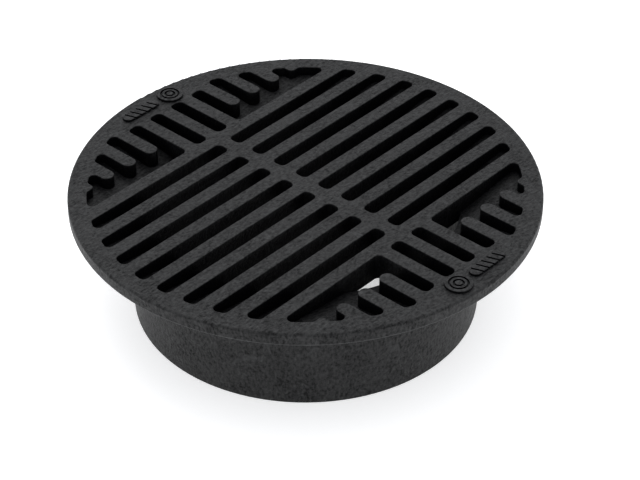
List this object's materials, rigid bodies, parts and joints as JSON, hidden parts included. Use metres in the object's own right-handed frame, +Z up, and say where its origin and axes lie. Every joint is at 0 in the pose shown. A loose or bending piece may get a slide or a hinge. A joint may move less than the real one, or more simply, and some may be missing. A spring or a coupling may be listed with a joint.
{
  "type": "floor drain grate",
  "caption": "Round slotted plastic floor drain grate with a flat flange, open corner windows, a sloping inner web and a push-in pipe collar.",
  "frame": {"origin": "centre of the collar's bottom face", "axes": "+Z up along the collar's axis, X along the long grating bars, Y along the spine"},
  "size_m": [0.21, 0.21, 0.0608],
  "materials": {
    "black_plastic": "matte, fine moulded texture"
  },
  "bodies": {
    "root": {"bar_left_back_1": "black_plastic", "bar_left_back_2": "black_plastic", "bar_left_back_3": "black_plastic", "bar_left_back_4": "black_plastic", "bar_left_centre": "black_plastic", "bar_left_front_1": "black_plastic", "bar_left_front_2": "black_plastic", "bar_left_front_3": "black_plastic", "bar_left_front_4": "black_plastic", "bar_right_back_1": "black_plastic", "bar_right_back_2": "black_plastic", "bar_right_back_3": "black_plastic", "bar_right_back_4": "black_plastic", "bar_right_centre": "black_plastic", "bar_right_front_1": "black_plastic", "bar_right_front_2": "black_plastic", "bar_right_front_3": "black_plastic", "bar_right_front_4": "black_plastic", "collar": "black_plastic", "finger_back_left_1": "black_plastic", "finger_back_left_2": "black_plastic", "finger_back_left_3": "black_plastic", "finger_back_right_1": "black_plastic", "finger_back_right_2": "black_plastic", "finger_back_right_3": "black_plastic", "finger_front_left_1": "black_plastic", "finger_front_left_2": "black_plastic", "finger_front_left_3": "black_plastic", "finger_front_right_1": "black_plastic", "finger_front_right_2": "black_plastic", "finger_front_right_3": "black_plastic", "funnel_web": "black_plastic", "mark_disc_back": "black_plastic", "mark_disc_front": "black_plastic", "mark_plate_back": "black_plastic", "mark_plate_front": "black_plastic", "rim": "black_plastic", "spine": "black_plastic", "spine_back": "black_plastic", "spine_front": "black_plastic", "tie_back_left": "black_plastic", "tie_back_right": "black_plastic", "tie_front_left": "black_plastic", "tie_front_right": "black_plastic"}
  },
  "joints": []
}
